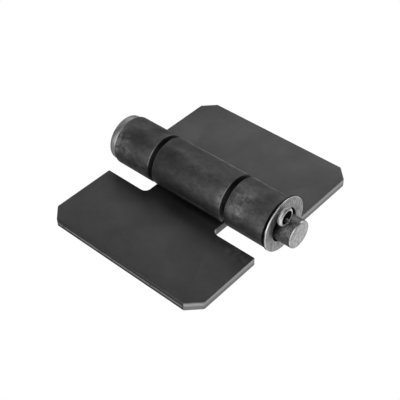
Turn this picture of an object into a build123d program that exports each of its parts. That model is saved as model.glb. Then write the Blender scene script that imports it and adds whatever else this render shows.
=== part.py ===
from build123d import *
import math
import os

os.makedirs("parts", exist_ok=True)

# Flat weld-on hinge. The pin runs along X with its head at -X, the front leaf reaches
# towards -Y, the back leaf towards +Y, and +Z is up. All lengths are in millimetres.

# Leaves
leaf_width = 80.0  # along the pin
leaf_reach = 50.0  # from the pin axis to a leaf's outer edge
plate_thickness = 4.0
corner_chamfer = 5.5
edge_break = 0.4  # tumbled edges of the blank

# Rolled knuckles
knuckle_diameter = 22.0
centre_knuckle_length = 36.5
knuckle_gap = 2.2  # between neighbouring knuckles
notch_gap = 4.0  # from a knuckle to the edge of the other leaf's notch
notch_radius = 2.5
curl_drop = 36.0  # degrees below the pin axis where the curled edge ends

# Headed pin
pin_play = 1.0  # radial, the loose pin in the rolled knuckles
head_diameter = 20.5
head_thickness = 3.5
head_round = 1.0
head_gap = 0.3  # end float under the head
tail_overhang = 3.55  # beyond the split pin
tail_chamfer = 0.6

# Washer
washer_diameter = 24.0
washer_thickness = 1.2
washer_slack = 0.3  # radial, on the pin where the washer carries it
washer_gap = 0.9  # from the last knuckle
washer_break = 0.25

# Split pin of half-round wire through the pin's tail
wire_width = 2.1
eye_diameter = 5.9  # inside
neck_radius = 2.0  # where the eye closes to the two legs
neck_gap = 0.1  # from the pin to the neck
leg_gap = 0.2  # between the flat sides of the legs
leg_bend_radius = 1.8
leg_bend_angle = 50.0  # degrees, the ends bent apart behind the pin
leg_end_length = 1.8
leg_clearance = 0.6  # from the pin to the bends
split_pin_lean = 21.5  # degrees from upright, towards the front leaf
split_pin_gap = 1.75  # from the washer
split_pin_fit = 0.1  # radial, in its cross hole

# Worked-out sizes
knuckle_radius = knuckle_diameter / 2
bore_radius = knuckle_radius - plate_thickness
pin_radius = bore_radius - pin_play
washer_radius = washer_diameter / 2
axis_height = max(knuckle_diameter, head_diameter) / 2  # the leaves lie on the ground
washer_lift = max(washer_radius - axis_height, 0)  # and the washer stands on it
wire_radius = wire_width / 2
leg_offset = leg_gap / 2
eye_radius = eye_diameter / 2
cross_hole_radius = wire_radius + leg_offset + split_pin_fit
neck_rise = math.sqrt((eye_radius + neck_radius) ** 2 - (leg_offset + neck_radius) ** 2)
neck_turn = math.degrees(math.atan2(neck_rise, leg_offset + neck_radius))
eye_distance = pin_radius + neck_gap + neck_rise  # from the pin axis to the middle of the eye
notch_reach = knuckle_radius + notch_gap
curl_start = -90.0  # degrees, straight under the pin
curl_sweep = 270.0 + curl_drop  # round the far side, over the top and down past the axis
overcut = knuckle_diameter
length_tolerance = 0.001

# Stations along the pin, from the middle of the leaves
leaf_end = leaf_width / 2
head_seat = -leaf_end - head_gap
head_end = head_seat - head_thickness
washer_seat = leaf_end + washer_gap
split_pin_station = washer_seat + washer_thickness + split_pin_gap + wire_radius
tail_end = split_pin_station + wire_radius + tail_overhang

# The origin is at the middle of the ground under the whole hinge
mid_x = -(head_end + tail_end) / 2
hinge_centre = Vector(mid_x, 0, axis_height)
pin_axis = Axis(hinge_centre, (1, 0, 0))

# Working planes through the hinge centre
plan = Plane(hinge_centre)
front_section = Plane(hinge_centre, x_dir=(0, 1, 0), z_dir=(1, 0, 0))
back_section = Plane(hinge_centre, x_dir=(0, -1, 0), z_dir=(-1, 0, 0))
pin_section = Plane(hinge_centre, x_dir=(1, 0, 0), z_dir=(0, -1, 0))
washer_plane = Plane(
    hinge_centre + Vector(washer_seat, 0, washer_lift),
    x_dir=(0, 1, 0),
    z_dir=(1, 0, 0),
)
cross_hole_plane = Plane(
    hinge_centre + Vector(split_pin_station, 0, 0),
    x_dir=(1, 0, 0),
    z_dir=Vector(0, 0, 1).rotate(Axis.X, split_pin_lean),
)
eye_plane = Plane(
    cross_hole_plane.origin,
    x_dir=cross_hole_plane.y_dir,
    z_dir=(1, 0, 0),
)


def rolled_sheet(section_plane):
    """The sheet seen along the pin: a flat leaf that runs under the pin and curls over it."""
    with BuildSketch(section_plane) as section:
        with BuildLine():
            underside = Line((-leaf_reach, -knuckle_radius), (0, -knuckle_radius))
            outer_curl = CenterArc((0, 0), knuckle_radius, curl_start, curl_sweep)
            inner_curl = CenterArc((0, 0), bore_radius, curl_start, curl_sweep)
            top_face = Line((0, -bore_radius), (-leaf_reach, -bore_radius))
            Line(outer_curl @ 1, inner_curl @ 1)
            Line(top_face @ 1, underside @ 0)
        make_face()
    return section.sketch


def is_across(edge):
    """True for a straight edge that runs through the sheet's thickness."""
    return math.isclose(edge.length, plate_thickness, abs_tol=length_tolerance)


def skin_edges(leaf):
    """The edges of the sheet's two faces. Those across its thickness stay sharp."""
    return leaf.edges() - leaf.edges().filter_by(GeomType.LINE).filter_by(is_across)


# Front leaf: a plate with the centre knuckle, notched at both sides for the outer knuckles
with BuildPart() as front_leaf:
    extrude(rolled_sheet(front_section), amount=leaf_end, both=True)
    with BuildSketch(plan) as side_notches:
        notch_corner = (centre_knuckle_length / 2, -notch_reach)
        with Locations(notch_corner):
            Rectangle(
                leaf_end - centre_knuckle_length / 2 + overcut,
                notch_reach + overcut,
                align=(Align.MIN, Align.MIN),
            )
        inner_corner = side_notches.vertices().group_by(Axis.Y)[0].sort_by(Axis.X)[0]
        fillet(inner_corner, notch_radius)
        mirror(about=Plane.YZ)
    extrude(amount=overcut, both=True, mode=Mode.SUBTRACT)
    chamfer(front_leaf.edges().filter_by(Axis.Z).group_by(Axis.Y)[0], corner_chamfer)
    chamfer(skin_edges(front_leaf), edge_break)
front_leaf.part.label = "front_leaf"
export_step(front_leaf.part, "parts/front_leaf.step")

# Back leaf: a plate with the two outer knuckles, notched in the middle for the centre one
with BuildPart() as back_leaf:
    extrude(rolled_sheet(back_section), amount=leaf_end, both=True)
    with BuildSketch(plan) as middle_notch:
        with Locations((0, notch_reach)):
            Rectangle(
                centre_knuckle_length + 2 * knuckle_gap,
                notch_reach + overcut,
                align=(Align.CENTER, Align.MAX),
            )
        fillet(middle_notch.vertices().group_by(Axis.Y)[-1], notch_radius)
    extrude(amount=overcut, both=True, mode=Mode.SUBTRACT)
    chamfer(back_leaf.edges().filter_by(Axis.Z).group_by(Axis.Y)[-1], corner_chamfer)
    chamfer(skin_edges(back_leaf), edge_break)
back_leaf.part.label = "back_leaf"
export_step(back_leaf.part, "parts/back_leaf.step")

# Hinge pin: a round bar with a head and a cross hole, loose in the rolled knuckles
with BuildPart() as hinge_pin:
    with BuildSketch(pin_section):
        with BuildLine():
            Polyline(
                (head_end, 0),
                (head_end, head_diameter / 2),
                (head_seat, head_diameter / 2),
                (head_seat, pin_radius),
                (tail_end, pin_radius),
                (tail_end, 0),
                close=True,
            )
        make_face()
    revolve(axis=pin_axis)
    rims = hinge_pin.edges().filter_by(GeomType.CIRCLE).sort_by(Axis.X)
    fillet(rims[0], head_round)
    chamfer(rims[-1], tail_chamfer)
    with Locations(cross_hole_plane):
        Hole(cross_hole_radius)
hinge_pin.part.label = "hinge_pin"
export_step(hinge_pin.part, "parts/hinge_pin.step")

# Washer: a flat stamped ring, loose on the pin, that stands on the ground beside the knuckles
with BuildPart() as washer:
    with BuildSketch(washer_plane):
        Circle(washer_radius)
        Circle(pin_radius + washer_lift + washer_slack, mode=Mode.SUBTRACT)
    extrude(amount=washer_thickness)
    chamfer(washer.edges().filter_by(GeomType.CIRCLE), washer_break)
washer.part.label = "washer"
export_step(washer.part, "parts/washer.step")

# Split pin: half-round wire bent into an eye, its legs bent apart behind the pin
with BuildPart() as split_pin:
    with BuildLine(eye_plane) as wire_path:
        bend_centre = (leg_offset + leg_bend_radius, -pin_radius - leg_clearance)
        neck_centre = (leg_offset + neck_radius, pin_radius + neck_gap)
        bend = CenterArc(bend_centre, leg_bend_radius, 180 + leg_bend_angle, -leg_bend_angle)
        neck = CenterArc(neck_centre, neck_radius, 180, -neck_turn)
        Line(bend @ 0 - leg_end_length * (bend % 0), bend @ 0)
        Line(bend @ 1, neck @ 0)
        CenterArc((0, eye_distance), eye_radius, -neck_turn, 90 + neck_turn)
        mirror(about=Plane(eye_plane.origin, x_dir=eye_plane.y_dir, z_dir=eye_plane.x_dir))
    wire = wire_path.wires()[0]
    with BuildSketch(Plane(wire @ 0, x_dir=(1, 0, 0), z_dir=wire % 0)):
        with BuildLine():
            round_side = CenterArc((0, 0), wire_radius, 0, 180)
            Line(round_side @ 1, round_side @ 0)
        make_face()
    sweep(path=wire)
split_pin.part.label = "split_pin"
export_step(split_pin.part, "parts/split_pin.step")
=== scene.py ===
import bmesh
import bpy
import math
from mathutils import Matrix, Vector


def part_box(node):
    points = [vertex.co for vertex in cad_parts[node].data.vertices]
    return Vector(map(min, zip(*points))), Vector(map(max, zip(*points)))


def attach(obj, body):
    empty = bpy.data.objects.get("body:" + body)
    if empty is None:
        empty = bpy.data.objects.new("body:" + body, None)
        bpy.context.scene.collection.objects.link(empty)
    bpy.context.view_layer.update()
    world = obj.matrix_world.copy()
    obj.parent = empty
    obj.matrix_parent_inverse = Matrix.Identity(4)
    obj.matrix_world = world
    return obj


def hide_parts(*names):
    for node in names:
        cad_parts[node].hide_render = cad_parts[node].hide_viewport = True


# Flat weld-on hinge in dark hot-rolled steel: two rolled leaves, a headed pin, a washer and a split pin.
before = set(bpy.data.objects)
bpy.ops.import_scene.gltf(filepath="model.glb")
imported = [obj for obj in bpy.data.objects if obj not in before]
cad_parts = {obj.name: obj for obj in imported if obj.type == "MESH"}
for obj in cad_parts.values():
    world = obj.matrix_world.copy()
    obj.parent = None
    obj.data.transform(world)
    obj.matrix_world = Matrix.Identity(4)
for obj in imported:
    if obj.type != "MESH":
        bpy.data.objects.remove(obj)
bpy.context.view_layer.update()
print("frame loaded:", sorted(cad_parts))

mm = 0.001
tiny = 0.01 * mm  # how far off a point may be when it is picked by its place
mergeGap = 0.001 * mm  # doubles closer than this are merged
squareOn = 0.98  # least share of a normal along an axis, for a face that is square to it

# places read from the frame
leafLow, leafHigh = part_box("front_leaf")
pinLow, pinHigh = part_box("hinge_pin")
washerLow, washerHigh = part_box("washer")
splitLow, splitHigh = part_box("split_pin")
midX = (leafLow.x + leafHigh.x) / 2  # middle of the leaves, along the pin
axisZ = (leafLow.z + leafHigh.z) / 2  # height of the pin's axis
leafWidth = leafHigh.x - leafLow.x
leafReach = -leafLow.y  # from the pin's axis to a leaf's outer edge
knuckleRadius = (leafHigh.z - leafLow.z) / 2
axisPoint = Vector((midX, 0, axisZ))
washerCentre = (washerLow + washerHigh) / 2  # it stands on the ground, a little above the pin's axis
splitPoint = Vector(((splitLow.x + splitHigh.x) / 2, 0, axisZ))  # where the split pin crosses the axis


# hand tools: selecting, applying and placing

def startClean():
    bpy.ops.object.select_all(action="DESELECT")


def workOn(piece):
    startClean()
    piece.select_set(True)
    bpy.context.view_layer.objects.active = piece


def openMesh(piece):
    workOn(piece)
    bpy.ops.object.mode_set(mode="EDIT")


def closeMesh():
    bpy.ops.object.mode_set(mode="OBJECT")


# the pick functions work on an open mesh

def clearPick(piece, kind):
    bpy.ops.mesh.select_mode(type=kind)
    bpy.ops.mesh.select_all(action="DESELECT")
    return bmesh.from_edit_mesh(piece.data)


def pickFaces(piece, test):  # by the face's middle and normal
    cage = clearPick(piece, "FACE")
    for face in cage.faces:
        face.select_set(test(face.calc_center_median(), face.normal))
    bmesh.update_edit_mesh(piece.data)


def pickPoints(piece, test):  # by the point's place
    cage = clearPick(piece, "VERT")
    for point in cage.verts:
        point.select_set(test(point.co))
    bmesh.update_edit_mesh(piece.data)


def pickEdges(piece, test):  # by the edge's two ends
    cage = clearPick(piece, "EDGE")
    for edge in cage.edges:
        edge.select_set(test(edge.verts[0].co, edge.verts[1].co))
    bmesh.update_edit_mesh(piece.data)


def applyModifier(piece, kind, **settings):
    workOn(piece)
    modifier = piece.modifiers.new(kind.lower(), kind)
    for name, value in settings.items():
        setattr(modifier, name, value)
    bpy.ops.object.modifier_apply(modifier=modifier.name)


def cleanMesh(piece):  # doubles merged first, then every face turned outwards
    openMesh(piece)
    bpy.ops.mesh.select_all(action="SELECT")
    bpy.ops.mesh.remove_doubles(threshold=mergeGap)
    bpy.ops.mesh.normals_make_consistent(inside=False)
    closeMesh()


def cutAway(piece, cutter):
    applyModifier(piece, "BOOLEAN", operation="DIFFERENCE", solver="EXACT", object=cutter)
    bpy.data.objects.remove(cutter)


def fixInPlace(piece):  # the object ends at the origin, unturned and unscaled
    workOn(piece)
    bpy.ops.object.transform_apply(location=True, rotation=True, scale=True)


def smoothOver(piece, degrees):  # edges sharper than this stay crisp
    workOn(piece)
    bpy.ops.object.shade_smooth_by_angle(angle=math.radians(degrees))


def radiusOf(point, centre):  # distance from a line along X through the centre
    return math.hypot(point.y - centre.y, point.z - centre.z)


def isUpright(a, b):
    return abs(a.x - b.x) < tiny and abs(a.y - b.y) < tiny


def dress(piece, *materials):
    for material in materials:
        piece.data.materials.append(material)


def slotOf(piece, material):
    return piece.data.materials.find(material.name)


def paintFaces(piece, material, test):
    openMesh(piece)
    pickFaces(piece, test)
    piece.active_material_index = slotOf(piece, material)
    bpy.ops.object.material_slot_assign()
    closeMesh()


# materials: each starts from the real steel and the way its surface was made

mixShare, mixFrom, mixTo, mixedColour = 0, 6, 7, 2  # sockets of a Mix node that mixes colours
noiseLow, noiseHigh = 0.3, 0.7  # most of a noise texture lies between these
spotCore = 0.1  # share of its reach over which a spot is full


def fromHex(code):  # sRGB hex to linear
    parts = [int(code[i:i + 2], 16) / 255 for i in (1, 3, 5)]
    return [c / 12.92 if c <= 0.04045 else ((c + 0.055) / 1.055) ** 2.4 for c in parts] + [1.0]


def addNode(tree, kind, props={}, values={}, links={}):
    node = tree.nodes.new(kind)
    for name, value in props.items():
        setattr(node, name, value)
    for socket, value in values.items():
        node.inputs[socket].default_value = value
    for socket, source in links.items():
        tree.links.new(source, node.inputs[socket])
    return node


def emptyTree(owner):  # of a material or a world
    owner.use_nodes = True
    owner.node_tree.nodes.clear()
    return owner.node_tree


def newSteel(name):
    material = bpy.data.materials.new(name)
    tree = emptyTree(material)
    shader = addNode(tree, "ShaderNodeBsdfPrincipled", values={"Metallic": 1.0})
    addNode(tree, "ShaderNodeOutputMaterial", links={"Surface": shader.outputs["BSDF"]})
    place = addNode(tree, "ShaderNodeTexCoord")
    return material, tree, shader, place.outputs["Object"]


def perMetre(*sizes):  # texture scale for marks of that size
    return 1 / sizes[0] if len(sizes) == 1 else [1 / size for size in sizes]


# masks: the curled part of a leaf, and soft spots

def curledMask(tree, place, fade):  # 1 on the knuckles, 0 on the flats
    acrossPin = addNode(
        tree, "ShaderNodeMapping", links={"Vector": place},
        values={"Location": (0, 0, -axisZ), "Scale": (0, 1, 1)},
    )
    offAxis = addNode(
        tree, "ShaderNodeVectorMath", props={"operation": "LENGTH"},
        links={0: acrossPin.outputs["Vector"]},
    )
    near, far = [knuckleRadius + length for length in fade]
    return addNode(
        tree, "ShaderNodeMapRange", values={"From Min": near, "From Max": far, "To Min": 1, "To Max": 0},
        links={"Value": offAxis.outputs["Value"]},
    ).outputs["Result"]


# a spot's at and reach are in mm, from the middle of the leaves on the pin's axis
def spotMask(tree, place, spots):  # each spot is full at its middle and gone at its reach
    mask = None
    for spot in spots:
        middle = axisPoint + Vector(spot["at"]) * mm
        sizes = [length * mm for length in spot["reach"]]
        inside = addNode(
            tree, "ShaderNodeMapping", links={"Vector": place},
            values={"Location": [-c / size for c, size in zip(middle, sizes)], "Scale": perMetre(*sizes)},
        )
        away = addNode(
            tree, "ShaderNodeVectorMath", props={"operation": "LENGTH"},
            links={0: inside.outputs["Vector"]},
        )
        patch = addNode(
            tree, "ShaderNodeMapRange", props={"interpolation_type": "SMOOTHSTEP"},
            values={"From Min": spotCore, "From Max": 1, "To Min": spot["strength"], "To Max": 0},
            links={"Value": away.outputs["Value"]},
        ).outputs["Result"]
        if mask:
            patch = addNode(
                tree, "ShaderNodeMath", props={"operation": "MAXIMUM"}, links={0: mask, 1: patch}
            ).outputs["Value"]
        mask = patch
    return mask


# hot-rolled sheet with its mill scale on: a dull, dark oxide, faintly cloudy, rubbed paler where it was
# curled, with painted highlights and paler patches on the knuckles and edges, and painted shade in the
# crevice and on the knuckles' tops
scaleFinish = {
    "dark": "#474748",
    "light": "#5a5a5b",
    # pale bare steel, also the colour of the painted highlights
    "wornAndLit": "#a2a2a3",
    # painted shade
    "shadeTone": "#1c1c1c",
    "cloud": 16 * mm,
    "mottle": (3.2 * mm, 2.2 * mm, 2.2 * mm),  # drawn out along the pin
    "grain": 0.8 * mm,  # finer on the real sheet, drawn this coarse so that it shows
    "grainShare": 0.5,  # of the grain, added to the clouds
    "tintSpan": (0.45, 1.05),  # of clouds and grain, from dark to light
    "patchSpan": (0.38, 0.62),  # of the mottle, from least to most paleness
    "patchShare": (0.1, 1.3),
    "curlWear": 0.12,  # everywhere on the knuckles
    "curlFade": (0.3 * mm, 2 * mm),  # outside the knuckle, where that wear begins to fade and ends
    "roughness": (0.50, 0.62),
    "relief": {"Strength": 0.3, "Distance": 0.03 * mm},
    # paler patches on the knuckles and the rims of their ends, partly worn steel and partly painted
    # highlight; painted highlights along the lip, the strip edges, beside the notch and behind the tops
    "wearAndHighlightSpots": [
        {"at": (25, -9.5, 5.5), "reach": (7, 8, 8), "strength": 0.75},
        {"at": (38.2, -10.3, 3), "reach": (3, 6, 6), "strength": 0.15},
        {"at": (26, -5, 9.6), "reach": (8, 6, 6), "strength": 0.5},
        {"at": (-36, -9.3, 5.8), "reach": (5, 6, 6), "strength": 0.7},
        {"at": (-39.3, -9, 6), "reach": (3, 8, 8), "strength": 1.6},
        {"at": (-25, -11, -1), "reach": (6, 5, 5), "strength": 0.3},
        {"at": (2, -4, 10.2), "reach": (9, 4, 4), "strength": 0.1},
        {"at": (17.5, -8.5, 7), "reach": (3.5, 8, 8), "strength": 0.4},
        {"at": (3, -10.6, -3.0), "reach": (22, 1.1, 1.1), "strength": 1.0},  # painted highlight along the curl's lip
        {"at": (0, -50, -9.1), "reach": (90, 0.9, 0.75), "strength": 3.0},  # painted highlight along each strip's outer edge
        {"at": (0, 50, -9.1), "reach": (90, 0.9, 0.75), "strength": 3.0},
        # painted light on the flat beside the right notch, lifting the shade the knuckle casts there
        {"at": (35, -16, -7), "reach": (17, 8, 3), "strength": 0.36},
        {"at": (-32, -10.3, 3.5), "reach": (5, 6, 6), "strength": 0.3},
        {"at": (12, 7, 8.5), "reach": (48, 1.7, 1.7), "strength": 0.85},  # painted highlight: a pale line behind the tops
    ],
    "shadeSpots": [  # painted shade in the crevice under the curl and on top of the knuckles
        {"at": (2, -12.5, -7), "reach": (22, 8, 4), "strength": 0.36},
        {"at": (4, -10, -7), "reach": (26, 3.5, 2.5), "strength": 0.62},
        {"at": (-13, -4, 10.2), "reach": (10, 6, 6), "strength": 0.45},
        {"at": (-30, -4, 10.2), "reach": (8, 7, 7), "strength": 0.35},
        {"at": (34, -6.7, 8.7), "reach": (4, 4, 4), "strength": 0.15},
        {"at": (0, 2, 10.8), "reach": (90, 5.5, 5.5), "strength": 0.5},
        {"at": (-26, 2.5, 10.7), "reach": (10, 7, 7), "strength": 0.65},
        {"at": (-14, 1.5, 10.9), "reach": (9, 6, 6), "strength": 0.6},
        {"at": (35, 1, 10.9), "reach": (6, 5, 5), "strength": 0.6},
    ],
}


def makeMillScale():
    finish = scaleFinish
    material, tree, shader, place = newSteel("hotRolledMillScaleSteel")
    cloud = addNode(
        tree, "ShaderNodeTexNoise", links={"Vector": place},
        values={"Scale": perMetre(finish["cloud"]), "Detail": 6, "Roughness": 0.6},
    )
    drawnOut = addNode(
        tree, "ShaderNodeMapping", values={"Scale": perMetre(*finish["mottle"])}, links={"Vector": place}
    )
    mottle = addNode(
        tree, "ShaderNodeTexNoise", links={"Vector": drawnOut.outputs["Vector"]},
        values={"Scale": 1, "Detail": 8, "Roughness": 0.72, "Distortion": 0.4},
    )
    grain = addNode(
        tree, "ShaderNodeTexNoise", links={"Vector": place},
        values={"Scale": perMetre(finish["grain"]), "Detail": 3},
    )
    speckle = addNode(
        tree, "ShaderNodeMath", props={"operation": "MULTIPLY_ADD"}, values={1: finish["grainShare"]},
        links={0: grain.outputs["Fac"], 2: cloud.outputs["Fac"]},
    )
    darkest, lightest = finish["tintSpan"]
    tint = addNode(
        tree, "ShaderNodeMapRange", values={"From Min": darkest, "From Max": lightest},
        links={"Value": speckle.outputs["Value"]},
    )
    patchLow, patchHigh = finish["patchSpan"]
    leastShare, mostShare = finish["patchShare"]
    patches = addNode(
        tree, "ShaderNodeMapRange", links={"Value": mottle.outputs["Fac"]},
        values={"From Min": patchLow, "From Max": patchHigh, "To Min": leastShare, "To Max": mostShare},
    )
    wearAndHighlight = addNode(  # a faint wear everywhere on the curls, stronger in the spots of paler steel and painted highlight
        tree, "ShaderNodeMath", props={"operation": "MULTIPLY_ADD"}, values={1: finish["curlWear"]},
        links={
            0: curledMask(tree, place, finish["curlFade"]),
            2: spotMask(tree, place, finish["wearAndHighlightSpots"]),
        },
    )
    wearAndHighlightShare = addNode(
        tree, "ShaderNodeMath", props={"operation": "MULTIPLY", "use_clamp": True},
        links={0: patches.outputs["Result"], 1: wearAndHighlight.outputs["Value"]},
    )
    oxide = addNode(
        tree, "ShaderNodeMix", props={"data_type": "RGBA"}, links={mixShare: tint.outputs["Result"]},
        values={mixFrom: fromHex(finish["dark"]), mixTo: fromHex(finish["light"])},
    )
    # pale steel over the oxide: wear and painted highlights
    wornAndLitTone = addNode(
        tree, "ShaderNodeMix", props={"data_type": "RGBA"}, values={mixTo: fromHex(finish["wornAndLit"])},
        links={mixShare: wearAndHighlightShare.outputs["Value"], mixFrom: oxide.outputs[mixedColour]},
    )
    # painted shade laid over that
    tone = addNode(
        tree, "ShaderNodeMix", props={"data_type": "RGBA"}, values={mixTo: fromHex(finish["shadeTone"])},
        links={
            mixShare: spotMask(tree, place, finish["shadeSpots"]),
            mixFrom: wornAndLitTone.outputs[mixedColour],
        },
    )
    smooth, rough = finish["roughness"]
    gloss = addNode(
        tree, "ShaderNodeMapRange", links={"Value": grain.outputs["Fac"]},
        values={"From Min": noiseLow, "From Max": noiseHigh, "To Min": smooth, "To Max": rough},
    )
    relief = addNode(
        tree, "ShaderNodeBump", values=finish["relief"], links={"Height": grain.outputs["Fac"]}
    )
    tree.links.new(tone.outputs[mixedColour], shader.inputs["Base Color"])
    tree.links.new(gloss.outputs["Result"], shader.inputs["Roughness"])
    tree.links.new(relief.outputs["Normal"], shader.inputs["Normal"])
    return material


# bare sheared edge: a smooth sheared band above a duller torn one, with drag lines through the thickness
shearFinish = {
    "sheared": "#989898",
    "torn": "#8a8a8a",
    "line": (0.5 * mm, 0.5 * mm, 6 * mm),
    "tornBelow": 2.3 * mm,  # up from the underside
    "ragged": 0.8 * mm,
    "roughness": (0.45, 0.65),
    "relief": {"Strength": 0.4, "Distance": 0.05 * mm},
}


def makeShearedEdge():
    finish = shearFinish
    material, tree, shader, place = newSteel("shearedSteelEdge")
    stretched = addNode(
        tree, "ShaderNodeMapping", values={"Scale": perMetre(*finish["line"])}, links={"Vector": place}
    )
    drag = addNode(
        tree, "ShaderNodeTexNoise", links={"Vector": stretched.outputs["Vector"]},
        values={"Scale": 1, "Detail": 4, "Roughness": 0.6},
    )
    height = addNode(tree, "ShaderNodeSeparateXYZ", links={"Vector": place})
    tear = addNode(
        tree, "ShaderNodeMath", props={"operation": "MULTIPLY_ADD"}, values={1: finish["ragged"]},
        links={0: drag.outputs["Fac"], 2: height.outputs["Z"]},
    )
    band = addNode(  # 0 in the torn band, 1 in the sheared one
        tree, "ShaderNodeMapRange", links={"Value": tear.outputs["Value"]},
        values={"From Min": finish["tornBelow"], "From Max": finish["tornBelow"] + finish["ragged"]},
    )
    tone = addNode(
        tree, "ShaderNodeMix", props={"data_type": "RGBA"}, links={mixShare: band.outputs["Result"]},
        values={mixFrom: fromHex(finish["torn"]), mixTo: fromHex(finish["sheared"])},
    )
    smooth, rough = finish["roughness"]
    gloss = addNode(
        tree, "ShaderNodeMapRange", values={"To Min": rough, "To Max": smooth},
        links={"Value": band.outputs["Result"]},
    )
    relief = addNode(
        tree, "ShaderNodeBump", values=finish["relief"], links={"Height": drag.outputs["Fac"]}
    )
    tree.links.new(tone.outputs[mixedColour], shader.inputs["Base Color"])
    tree.links.new(gloss.outputs["Result"], shader.inputs["Roughness"])
    tree.links.new(relief.outputs["Normal"], shader.inputs["Normal"])
    return material


# tumbled edges of the blank and ends of the knuckles: scale still on round the flats,
# rubbed to pale bare steel on the fronts of the knuckles, which also carries their rims' painted highlight
tumbleFinish = {
    "scaled": "#5a5a5a",
    "bareAndLit": "#b4b4b4",
    # bare steel and painted highlight on the rims at the fronts of the knuckles
    "bareAndHighlightSpots": [{"at": (0, -8, 6), "reach": (90, 9, 9), "strength": 0.9}],
    "marks": 1.5 * mm,
    "markSpan": (0.3, 0.65),  # of the marks, from the least to the full share of the pale tone
    "leastShare": 0.3,
    "roughness": 0.48,
}


def makeTumbledEdge():
    finish = tumbleFinish
    material, tree, shader, place = newSteel("tumbledSteelEdge")
    marks = addNode(
        tree, "ShaderNodeTexNoise", links={"Vector": place},
        values={"Scale": perMetre(finish["marks"]), "Detail": 4, "Roughness": 0.6},
    )
    markLow, markHigh = finish["markSpan"]
    uneven = addNode(
        tree, "ShaderNodeMapRange", links={"Value": marks.outputs["Fac"]},
        values={"From Min": markLow, "From Max": markHigh, "To Min": finish["leastShare"]},
    )
    # pale share: bare steel and painted highlight
    bareAndHighlightShare = addNode(
        tree, "ShaderNodeMath", props={"operation": "MULTIPLY"},
        links={0: uneven.outputs["Result"], 1: spotMask(tree, place, finish["bareAndHighlightSpots"])},
    )
    tone = addNode(
        tree, "ShaderNodeMix", props={"data_type": "RGBA"}, links={mixShare: bareAndHighlightShare.outputs["Value"]},
        values={mixFrom: fromHex(finish["scaled"]), mixTo: fromHex(finish["bareAndLit"])},
    )
    shader.inputs["Roughness"].default_value = finish["roughness"]
    tree.links.new(tone.outputs[mixedColour], shader.inputs["Base Color"])
    return material


# the other bare steels: marks drawn out along the way each was worked
steelFinishes = {
    "drawnBarSteel": {  # dark grey and dull, with painted shade beside the washer
        "dark": "#3c3c3c",
        "light": "#7e7e7e",
        "marks": (0.7 * mm, 1.2 * mm, 1.2 * mm),
        "roughness": (0.4, 0.55),
        "shadeMarks": [{"at": (42, -3, 5), "reach": (4.5, 9, 9), "strength": 1.3}],
    },
    "facedBarEndSteel": {  # a light grey disc, blotched by the tool
        "dark": "#868686",
        "light": "#cecece",
        "marks": (0.5 * mm, 1.3 * mm, 1.3 * mm),
        "roughness": (0.42, 0.55),
    },
    "turnedHeadRimSteel": {  # a pale band with fine turning lines, painted darker on top as shade
        "dark": "#9c9c9c",
        "light": "#c8c8c8",
        "marks": (0.5 * mm, 4 * mm, 4 * mm),
        "roughness": (0.4, 0.52),
        "shadeMarks": [{"at": (-42, 1, 11), "reach": (8, 10, 7.5), "strength": 0.55}],
    },
    "stampedWasherSteel": {  # mid grey, streaked the way the strip was rolled
        "dark": "#5c5c5c",
        "light": "#b2b2b2",
        "marks": (1 * mm, 0.9 * mm, 3 * mm),
        "roughness": (0.42, 0.55),
    },
    "sheetCutRimSteel": {  # a bright thin line round the washer and the pin's end
        "dark": "#d0d0d0",
        "light": "#e6e6e6",
        "marks": (0.3 * mm, 2 * mm, 2 * mm),
        "roughness": (0.28, 0.4),
        "shadeMarks": [  # painted shade on top of the washer and of the pin's tail
            {"at": (41.5, 2.5, 12.7), "reach": (3, 5.5, 4), "strength": 0.6},
            {"at": (49.5, -1, 6), "reach": (3, 4, 3), "strength": 0.8},
        ],
    },
    "tornSteelAndShade": {  # nearly black and without shine: torn metal, and painted shade beside the washer and inside the split pin's eye
        "dark": "#161616",
        "light": "#2c2c2c",
        "marks": (0.3 * mm, 1 * mm, 1 * mm),
        "roughness": (0.6, 0.8),
    },
    "drawnWireSteel": {  # the brightest piece, smooth and pale
        "dark": "#c4c4c4",
        "light": "#e8e8e8",
        "marks": (0.6 * mm, 2 * mm, 2 * mm),
        "roughness": (0.38, 0.5),
        "shadeMarks": [  # painted shade inside the eye and on top of it
            {"at": (43.9, -3.88, 9.84), "reach": (2.4, 4.2, 4.2), "strength": 5.0},
            {"at": (44.9, -3.2, 13.3), "reach": (3, 3.2, 2.8), "strength": 0.55},
        ],
    },
}
workedRelief = {"Strength": 0.2, "Distance": 0.02 * mm}


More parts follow.
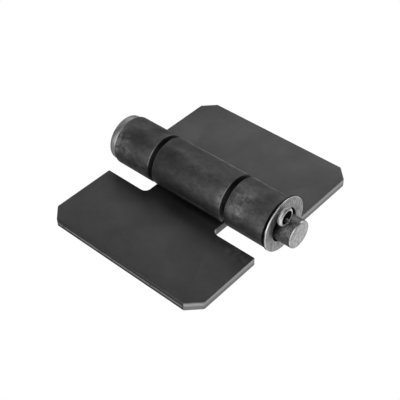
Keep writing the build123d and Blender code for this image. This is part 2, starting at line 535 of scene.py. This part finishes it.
def makeWorkedSteel(name):
    finish = steelFinishes[name]
    material, tree, shader, place = newSteel(name)
    stretched = addNode(
        tree, "ShaderNodeMapping", values={"Scale": perMetre(*finish["marks"])}, links={"Vector": place}
    )
    marks = addNode(
        tree, "ShaderNodeTexNoise", links={"Vector": stretched.outputs["Vector"]},
        values={"Scale": 1, "Detail": 4, "Roughness": 0.6},
    )
    streaks = addNode(
        tree, "ShaderNodeMapRange", values={"From Min": noiseLow, "From Max": noiseHigh},
        links={"Value": marks.outputs["Fac"]},
    )
    tone = addNode(
        tree, "ShaderNodeMix", props={"data_type": "RGBA"}, links={mixShare: streaks.outputs["Result"]},
        values={mixFrom: fromHex(finish["dark"]), mixTo: fromHex(finish["light"])},
    )
    # painted shade spots laid over the tone
    if "shadeMarks" in finish:
        tone = addNode(
            tree, "ShaderNodeMix", props={"data_type": "RGBA"},
            values={mixTo: fromHex(scaleFinish["shadeTone"])},
            links={mixShare: spotMask(tree, place, finish["shadeMarks"]), mixFrom: tone.outputs[mixedColour]},
        )
    smooth, rough = finish["roughness"]
    gloss = addNode(
        tree, "ShaderNodeMapRange", values={"To Min": smooth, "To Max": rough},
        links={"Value": streaks.outputs["Result"]},
    )
    relief = addNode(tree, "ShaderNodeBump", values=workedRelief, links={"Height": marks.outputs["Fac"]})
    tree.links.new(tone.outputs[mixedColour], shader.inputs["Base Color"])
    tree.links.new(gloss.outputs["Result"], shader.inputs["Roughness"])
    tree.links.new(relief.outputs["Normal"], shader.inputs["Normal"])
    return material


millScale = makeMillScale()
shearedEdge = makeShearedEdge()
tumbledEdge = makeTumbledEdge()
drawnBar = makeWorkedSteel("drawnBarSteel")
facedEnd = makeWorkedSteel("facedBarEndSteel")
headRim = makeWorkedSteel("turnedHeadRimSteel")
washerFace = makeWorkedSteel("stampedWasherSteel")
cutRim = makeWorkedSteel("sheetCutRimSteel")
tornAndShadedRim = makeWorkedSteel("tornSteelAndShade")
wireSteel = makeWorkedSteel("drawnWireSteel")
print("materials made")


# rolled leaves: a flat blank, curled over the pin, notched, and tumbled at its edges
leafSizes = {
    "plate": 4.0 * mm,
    "cornerCut": 5.5 * mm,
    "centreKnuckle": 36.5 * mm,
    "knuckleGap": 2.2 * mm,
    "notchGap": 4.0 * mm,  # from a knuckle to the notch's far edge
    "notchRadius": 2.5 * mm,
    "notchSegments": 8,
    "curlTurn": 270 + 36,  # degrees, the lip comes down close to the flat
    "curlSteps": 80,
    "edgeRound": 0.45 * mm,
    "edgeSegments": 3,
    "edgeAngle": 40,  # degrees, edges sharper than this are rounded
    "smoothAngle": 35,
    "croppedLean": 0.3,  # least share along the pin of a cropped edge's normal
    "notchLean": 0.1,  # most share up or down of a notch wall's normal
}
# a knuckle's end lies inside this radius, and the side of a notch outside it
endRadius = knuckleRadius - leafSizes["plate"] / 4


def rollBlank(name, facing):  # facing is -1 for the front leaf and 1 for the back one
    plate = leafSizes["plate"]
    sheetZ = axisZ - knuckleRadius + plate / 2
    startClean()
    bpy.ops.mesh.primitive_plane_add(size=1, location=(midX, facing * leafReach / 2, sheetZ))
    leaf = bpy.context.object
    leaf.name = name
    leaf.scale = (leafWidth, leafReach, 1)
    dress(leaf, millScale, shearedEdge, tumbledEdge, tornAndShadedRim)
    fixInPlace(leaf)
    openMesh(leaf)
    pickEdges(leaf, lambda a, b: abs(a.y) < tiny and abs(b.y) < tiny)
    turn = math.radians(leafSizes["curlTurn"])
    bpy.ops.mesh.spin(
        steps=leafSizes["curlSteps"], angle=facing * turn, center=axisPoint, axis=(1, 0, 0)
    )
    closeMesh()
    cleanMesh(leaf)
    applyModifier(leaf, "SOLIDIFY", thickness=plate, offset=0, use_even_offset=True)
    cleanMesh(leaf)
    return leaf


def notchCutter(lowX, highX, facing, roundedX):
    reach = knuckleRadius + leafSizes["notchGap"]
    depth = reach + 2 * knuckleRadius  # on past the far side of the knuckle
    height = 4 * knuckleRadius  # and past its top and bottom
    startClean()
    middle = ((lowX + highX) / 2, facing * (reach - depth / 2), axisZ)
    bpy.ops.mesh.primitive_cube_add(size=1, location=middle)
    cutter = bpy.context.object
    cutter.scale = (highX - lowX, depth, height)
    fixInPlace(cutter)
    openMesh(cutter)

    def insideCorner(a, b):
        atEdge = abs(a.y - facing * reach) < tiny
        return isUpright(a, b) and atEdge and any(abs(a.x - x) < tiny for x in roundedX)

    pickEdges(cutter, insideCorner)
    bpy.ops.mesh.bevel(
        offset=leafSizes["notchRadius"], segments=leafSizes["notchSegments"], affect="EDGES"
    )
    closeMesh()
    cleanMesh(cutter)
    return cutter


# cut edges of the flats; the long outer one is the strip's own scaled edge
def shearedFace(middle, normal):
    radius = radiusOf(middle, axisPoint)
    beside = abs(normal.x) > squareOn and radius > endRadius  # the notch's side, on past the knuckle
    flat = middle.z < leafLow.z + leafSizes["plate"] and radius > knuckleRadius + tiny
    cropped = flat and abs(normal.x) > leafSizes["croppedLean"]  # ends and cut corners, with their rounds
    notch = flat and abs(normal.z) < leafSizes["notchLean"] and abs(middle.y) < leafReach / 2
    return beside or cropped or notch


def knuckleEnd(middle, normal):
    return abs(normal.x) > squareOn and radiusOf(middle, axisPoint) < endRadius


def washerShadedEnd(middle, normal):  # the knuckle's end beside the washer, painted dark as shade
    onKnuckle = radiusOf(middle, axisPoint) < knuckleRadius + tiny
    return onKnuckle and middle.x > leafHigh.x - leafSizes["edgeRound"]


def trimLeaf(leaf, facing):
    openMesh(leaf)
    pickEdges(leaf, lambda a, b: isUpright(a, b) and abs(a.y - facing * leafReach) < tiny)
    bpy.ops.mesh.bevel(offset=leafSizes["cornerCut"], segments=1, affect="EDGES")
    closeMesh()
    applyModifier(
        leaf, "BEVEL", limit_method="ANGLE", angle_limit=math.radians(leafSizes["edgeAngle"]),
        width=leafSizes["edgeRound"], segments=leafSizes["edgeSegments"], use_clamp_overlap=False,
        material=slotOf(leaf, tumbledEdge),
    )
    paintFaces(leaf, shearedEdge, shearedFace)
    paintFaces(leaf, tumbledEdge, knuckleEnd)
    paintFaces(leaf, tornAndShadedRim, washerShadedEnd)
    smoothOver(leaf, leafSizes["smoothAngle"])


def makeFrontLeaf():
    leaf = rollBlank("frontLeaf", -1)
    half = leafSizes["centreKnuckle"] / 2
    past = leafWidth
    cutAway(leaf, notchCutter(midX + half, midX + past, -1, [midX + half]))
    cutAway(leaf, notchCutter(midX - past, midX - half, -1, [midX - half]))
    trimLeaf(leaf, -1)
    return leaf


def makeBackLeaf():
    leaf = rollBlank("backLeaf", 1)
    half = leafSizes["centreKnuckle"] / 2 + leafSizes["knuckleGap"]
    cutAway(leaf, notchCutter(midX - half, midX + half, 1, [midX - half, midX + half]))
    trimLeaf(leaf, 1)
    return leaf


frontLeaf = makeFrontLeaf()
backLeaf = makeBackLeaf()
print("leaves rolled:", len(frontLeaf.data.polygons), len(backLeaf.data.polygons), "faces")


# turned pieces: a profile of (x, radius) points, spun about the pin's axis

def latheProfile(name, points, centre, steps):
    startClean()
    bpy.ops.mesh.primitive_plane_add(size=1 * mm, location=centre)  # merged to one point below
    piece = bpy.context.object
    piece.name = name
    openMesh(piece)
    bpy.ops.mesh.select_mode(type="VERT")
    bpy.ops.mesh.select_all(action="SELECT")
    bpy.ops.mesh.merge(type="CENTER")
    here = Vector(points[0])
    bpy.ops.transform.translate(value=(here.x - centre.x, 0, here.y))
    for station in points[1:]:
        step = Vector(station) - here
        bpy.ops.mesh.extrude_region_move(TRANSFORM_OT_translate={"value": (step.x, 0, step.y)})
        here = Vector(station)
    bpy.ops.mesh.select_all(action="SELECT")
    bpy.ops.mesh.spin(steps=steps, angle=2 * math.pi, center=centre, axis=(1, 0, 0))
    closeMesh()
    fixInPlace(piece)
    cleanMesh(piece)
    return piece


def bevelRing(piece, centre, x, radius, offset, segments):
    openMesh(piece)

    def onRing(point):
        return abs(point.x - x) < tiny and abs(radiusOf(point, centre) - radius) < tiny

    pickEdges(piece, lambda a, b: onRing(a) and onRing(b))
    bpy.ops.mesh.bevel(offset=offset, segments=segments, affect="EDGES")
    closeMesh()


pinSizes = {
    "headThick": 3.5 * mm,
    "headRound": 1.0 * mm,
    "headSegments": 5,
    "seatBreak": 0.25 * mm,  # round the back of the head
    "diameter": 12.0 * mm,
    "tailChamfer": 0.6 * mm,
    "breakSegments": 2,
    "chamferLean": 0.2,  # least share along the pin of a normal on the tail's chamfer
    "faceLean": 0.7,  # and on its faced end
    "crossHole": 2.5 * mm,
    "crossHoleSteps": 64,
    "lean": 21.5,  # degrees from upright, towards the front leaf
    "steps": 96,
    "smoothAngle": 30,
}


def makePin():
    headRadius = (pinHigh.z - pinLow.z) / 2
    radius = pinSizes["diameter"] / 2
    headSeat = pinLow.x + pinSizes["headThick"]
    profile = [
        (pinLow.x, 0), (pinLow.x, headRadius), (headSeat, headRadius), (headSeat, radius),
        (pinHigh.x, radius), (pinHigh.x, 0),
    ]
    pin = latheProfile("hingePin", profile, axisPoint, pinSizes["steps"])
    dress(pin, drawnBar, facedEnd, headRim, cutRim)
    for x, ringRadius, size, segments in (
        (pinLow.x, headRadius, pinSizes["headRound"], pinSizes["headSegments"]),
        (headSeat, headRadius, pinSizes["seatBreak"], pinSizes["breakSegments"]),
        (pinHigh.x, radius, pinSizes["tailChamfer"], pinSizes["breakSegments"]),
    ):
        bevelRing(pin, axisPoint, x, ringRadius, size, segments)
    startClean()
    bpy.ops.mesh.primitive_cylinder_add(
        vertices=pinSizes["crossHoleSteps"], radius=pinSizes["crossHole"] / 2, depth=4 * radius,
        location=splitPoint, rotation=(math.radians(pinSizes["lean"]), 0, 0),
    )
    drill = bpy.context.object
    fixInPlace(drill)
    cutAway(pin, drill)

    def onTail(middle):
        return middle.x > pinHigh.x - pinSizes["tailChamfer"]

    def onHeadRim(middle, normal):
        return middle.x < headSeat and radiusOf(middle, axisPoint) > headRadius - pinSizes["headRound"]

    paintFaces(pin, cutRim, lambda middle, normal: onTail(middle) and normal.x > pinSizes["chamferLean"])
    paintFaces(pin, facedEnd, lambda middle, normal: onTail(middle) and normal.x > pinSizes["faceLean"])
    paintFaces(pin, headRim, onHeadRim)
    smoothOver(pin, pinSizes["smoothAngle"])
    return pin


washerSizes = {
    "bore": 14.6 * mm,
    "faceRound": 0.2 * mm,
    "faceSegments": 3,
    "backBreak": 0.1 * mm,
    "backSegments": 2,
    "shearBand": 0.55 * mm,  # bright part of the stamped rim, the rest torn and painted dark, also as shade
    "steps": 112,
    "smoothAngle": 30,
}


def makeWasher():
    outer = (washerHigh.z - washerLow.z) / 2
    bore = washerSizes["bore"] / 2
    tear = washerHigh.x - washerSizes["shearBand"]
    profile = [
        (washerLow.x, bore), (washerLow.x, outer), (tear, outer),
        (washerHigh.x, outer), (washerHigh.x, bore), (washerLow.x, bore),
    ]
    washer = latheProfile("washerRing", profile, washerCentre, washerSizes["steps"])
    for x, size, segments in (
        (washerHigh.x, washerSizes["faceRound"], washerSizes["faceSegments"]),
        (washerLow.x, washerSizes["backBreak"], washerSizes["backSegments"]),
    ):
        for radius in (outer, bore):
            bevelRing(washer, washerCentre, x, radius, size, segments)
    dress(washer, washerFace, cutRim, tornAndShadedRim)

    def onRim(middle):
        return radiusOf(middle, washerCentre) > outer - washerSizes["faceRound"]

    paintFaces(washer, cutRim, lambda middle, normal: onRim(middle))
    # the torn part of the rim, dark, also as painted shade
    paintFaces(washer, tornAndShadedRim, lambda middle, normal: onRim(middle) and middle.x < tear)
    smoothOver(washer, washerSizes["smoothAngle"])
    return washer


splitPinSizes = {
    "wire": 2.1 * mm,  # across the flat of the half-round wire
    "wireSteps": 24,  # round a whole wire, before it is halved
    "eye": 5.9 * mm,  # inside
    "eyeSteps": 28,
    "insideReach": 0.6,  # of the eye, as far from its middle as its inside is painted
    "insideLean": 0.9,  # least share towards its middle of a normal there
    "neckRadius": 2.0 * mm,
    "neckSteps": 10,
    "neckGap": 0.1 * mm,  # from the pin to the neck
    "legGap": 0.2 * mm,
    "bendRadius": 1.8 * mm,
    "bendTurn": 50,  # degrees, the leg ends bent apart
    "bendSteps": 8,
    "legEnd": 1.8 * mm,
    "legClearance": 0.6 * mm,  # from the pin to the bends
    "edgeBreak": 0.1 * mm,
    "edgeSegments": 2,
    "edgeAngle": 50,  # degrees, edges sharper than this are broken
    "smoothAngle": 35,
}


def makeSplitPin():
    sizes = splitPinSizes
    eye, neck, offset = sizes["eye"] / 2, sizes["neckRadius"], sizes["legGap"] / 2
    legTop = pinSizes["diameter"] / 2 + sizes["neckGap"]
    legFoot = -pinSizes["diameter"] / 2 - sizes["legClearance"]
    rise = math.sqrt((eye + neck) ** 2 - (offset + neck) ** 2)
    neckTurn, bendTurn = math.atan2(rise, offset + neck), math.radians(sizes["bendTurn"])
    eyeCentre, neckCentre = (0, 0, legTop + rise), (0, offset + neck, legTop)
    bendCentre = (0, offset + sizes["bendRadius"], legFoot)

    # half a round wire at the top of the eye, flat side down
    flat = (0, 0, legTop + rise + eye)
    startClean()
    bpy.ops.mesh.primitive_circle_add(
        vertices=sizes["wireSteps"], radius=sizes["wire"] / 2, location=flat, rotation=(math.pi / 2, 0, 0)
    )
    pin = bpy.context.object
    pin.name = "splitPin"
    fixInPlace(pin)
    openMesh(pin)
    bpy.ops.mesh.select_mode(type="VERT")
    bpy.ops.mesh.select_all(action="SELECT")
    bpy.ops.mesh.bisect(plane_co=flat, plane_no=(0, 0, 1), clear_inner=True)
    pickPoints(pin, lambda point: abs(point.z - flat[2]) < tiny)
    bpy.ops.mesh.edge_face_add()

    # bent round half the eye, in to the neck, down one leg and out at its end
    alongX = (1, 0, 0)
    bpy.ops.mesh.select_all(action="SELECT")
    bpy.ops.mesh.spin(
        steps=sizes["eyeSteps"], angle=math.pi / 2 + neckTurn, center=eyeCentre, axis=alongX
    )
    bpy.ops.mesh.spin(steps=sizes["neckSteps"], angle=-neckTurn, center=neckCentre, axis=alongX)
    bpy.ops.mesh.extrude_region_move(TRANSFORM_OT_translate={"value": (0, 0, legFoot - legTop)})
    bpy.ops.mesh.spin(steps=sizes["bendSteps"], angle=-bendTurn, center=bendCentre, axis=alongX)
    outwards = Vector((0, math.sin(bendTurn), -math.cos(bendTurn))) * sizes["legEnd"]
    bpy.ops.mesh.extrude_region_move(TRANSFORM_OT_translate={"value": outwards})
    bpy.ops.mesh.edge_face_add()
    closeMesh()
    applyModifier(pin, "MIRROR", use_axis=(False, True, False), use_clip=True, merge_threshold=tiny)
    cleanMesh(pin)
    applyModifier(
        pin, "BEVEL", limit_method="ANGLE", angle_limit=math.radians(sizes["edgeAngle"]),
        width=sizes["edgeBreak"], segments=sizes["edgeSegments"],
    )
    dress(pin, wireSteel, tornAndShadedRim)

    def insideEye(middle, normal):  # the wire's flat round the eye, painted dark as shade
        inwards = Vector(eyeCentre) - middle
        near = inwards.length < sizes["eye"] * sizes["insideReach"]
        return near and normal.dot(inwards.normalized()) > sizes["insideLean"]

    paintFaces(pin, tornAndShadedRim, insideEye)
    lean = Matrix.Rotation(math.radians(pinSizes["lean"]), 4, "X")
    pin.matrix_world = Matrix.Translation(splitPoint) @ lean
    fixInPlace(pin)
    smoothOver(pin, sizes["smoothAngle"])
    return pin


hingePin = makePin()
washerRing = makeWasher()
splitPin = makeSplitPin()
smallPieces = (hingePin, washerRing, splitPin)
print("pin, washer and split pin made:", [len(piece.data.polygons) for piece in smallPieces], "faces")


# each piece stands for its CAD node and rides with that node's body
for piece, node, body, slot in (
    (frontLeaf, "front_leaf", "front_leaf", "leaf_steel"),
    (backLeaf, "back_leaf", "back_leaf", "leaf_steel"),
    (hingePin, "hinge_pin", "pin", "pin_steel"),
    (washerRing, "washer", "washer", "washer_steel"),
    (splitPin, "split_pin", "pin", "wire_steel"),
):
    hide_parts(node)
    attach(piece, body)


# floor: plain white paper, low enough that a leaf can swing down over it
floorSettings = {"size": 40.0, "clearance": 10 * mm}
white = fromHex("#ffffff")


def makeFloor():
    startClean()
    level = axisZ - leafReach - floorSettings["clearance"]
    bpy.ops.mesh.primitive_plane_add(size=floorSettings["size"], location=(0, 0, level))
    floor = bpy.context.object
    floor.name = "floor"
    fixInPlace(floor)
    material = bpy.data.materials.new("whitePaper")
    tree = emptyTree(material)
    glow = addNode(tree, "ShaderNodeEmission", values={"Color": white, "Strength": 1.0})
    addNode(tree, "ShaderNodeOutputMaterial", links={"Surface": glow.outputs["Emission"]})
    dress(floor, material)
    floor.visible_diffuse = False
    floor.visible_glossy = False
    floor.visible_shadow = False


makeFloor()

# light: even softboxes round the object, and two low ones for the white table's bounce on the upright edges
softboxes = {
    "frontBox": {"azimuth": 0, "elevation": 40, "size": 0.5, "power": 0.97},
    "frontLowBox": {"azimuth": 350, "elevation": 10, "size": 0.5, "power": 1.44},
    "backBox": {"azimuth": 180, "elevation": 30, "size": 0.5, "power": 1.38},
    "backLeftBox": {"azimuth": 218, "elevation": 37, "size": 0.5, "power": 1.63},
    "leftBox": {"azimuth": 265, "elevation": 35, "size": 0.5, "power": 0.7},
    "topBox": {"azimuth": 40, "elevation": 80, "size": 0.5, "power": 0.96},
    "rightBox": {"azimuth": 128, "elevation": 30, "size": 0.5, "power": 0.35},
    "cameraBox": {"azimuth": 48, "elevation": 47, "size": 0.5, "power": 0.7},
    "rightBounce": {"azimuth": 140, "elevation": -30, "size": 1.0, "power": 2.3},
    "frontBounce": {"azimuth": 50, "elevation": -35, "size": 1.0, "power": 3.0},
}
boxDistance = 0.8  # metres from the middle of the pin's axis


def towards(azimuth, elevation):  # azimuth 0 stands in front, at -Y, and 90 at +X
    a, e = math.radians(azimuth), math.radians(elevation)
    return Vector((math.sin(a) * math.cos(e), -math.cos(a) * math.cos(e), math.sin(e)))


for name, box in softboxes.items():
    light = bpy.data.lights.new(name, "AREA")
    light.size = box["size"]
    light.energy = box["power"]
    lamp = bpy.data.objects.new(name, light)
    bpy.context.scene.collection.objects.link(lamp)
    outwards = towards(box["azimuth"], box["elevation"])
    lamp.location = axisPoint + outwards * boxDistance
    lamp.rotation_euler = outwards.to_track_quat("Z", "Y").to_euler()

# the room: dark above, the pale table's bounce below, and white where the camera looks past the floor
roomSettings = {"above": 0.0, "below": 0.3, "blend": 0.2}


def makeRoom():
    world = bpy.data.worlds.new("studio")
    bpy.context.scene.world = world
    tree = emptyTree(world)
    seen = addNode(tree, "ShaderNodeLightPath")
    gaze = addNode(tree, "ShaderNodeTexCoord")
    upward = addNode(tree, "ShaderNodeSeparateXYZ", links={"Vector": gaze.outputs["Generated"]})
    bounce = addNode(
        tree, "ShaderNodeMapRange",
        values={
            "From Min": -roomSettings["blend"], "From Max": roomSettings["blend"],
            "To Min": roomSettings["below"], "To Max": roomSettings["above"],
        },
        links={"Value": upward.outputs["Z"]},
    )
    surround = addNode(
        tree, "ShaderNodeBackground", values={"Color": white}, links={"Strength": bounce.outputs["Result"]}
    )
    paper = addNode(tree, "ShaderNodeBackground", values={"Color": white, "Strength": 1.0})
    either = addNode(
        tree, "ShaderNodeMixShader",
        links={
            0: seen.outputs["Is Camera Ray"],
            1: surround.outputs["Background"],
            2: paper.outputs["Background"],
        },
    )
    addNode(tree, "ShaderNodeOutputWorld", links={"Surface": either.outputs["Shader"]})


makeRoom()
bpy.context.scene.view_settings.view_transform = "Standard"
print("floor and light set")

# camera: a short telephoto from the front right
cameraSettings = {
    "azimuth": 42.424,
    "elevation": 42.901,
    "roll": -1.476,
    "distance": 364.4 * mm,
    "slideRight": -0.927 * mm,
    "slideUp": -8.342 * mm,
    "focalPixels": 890.1,
    "framePixels": 400,
    "clipStart": 10 * mm,
}


def placeCamera():
    back = towards(cameraSettings["azimuth"], cameraSettings["elevation"])
    level = Vector((0, 0, 1)).cross(back).normalized()
    upright = back.cross(level)
    roll = math.radians(cameraSettings["roll"])
    right = math.cos(roll) * level + math.sin(roll) * upright
    up = math.cos(roll) * upright - math.sin(roll) * level
    data = bpy.data.cameras.new("camera")
    camera = bpy.data.objects.new("camera", data)
    bpy.context.scene.collection.objects.link(camera)
    data.lens = data.sensor_width * cameraSettings["focalPixels"] / cameraSettings["framePixels"]
    data.clip_start = cameraSettings["clipStart"]
    turned = Matrix((right, up, back)).transposed().to_4x4()
    place = axisPoint + back * cameraSettings["distance"]
    place += right * cameraSettings["slideRight"] + up * cameraSettings["slideUp"]
    camera.matrix_world = Matrix.Translation(place) @ turned
    bpy.context.scene.camera = camera


placeCamera()
print("camera set")
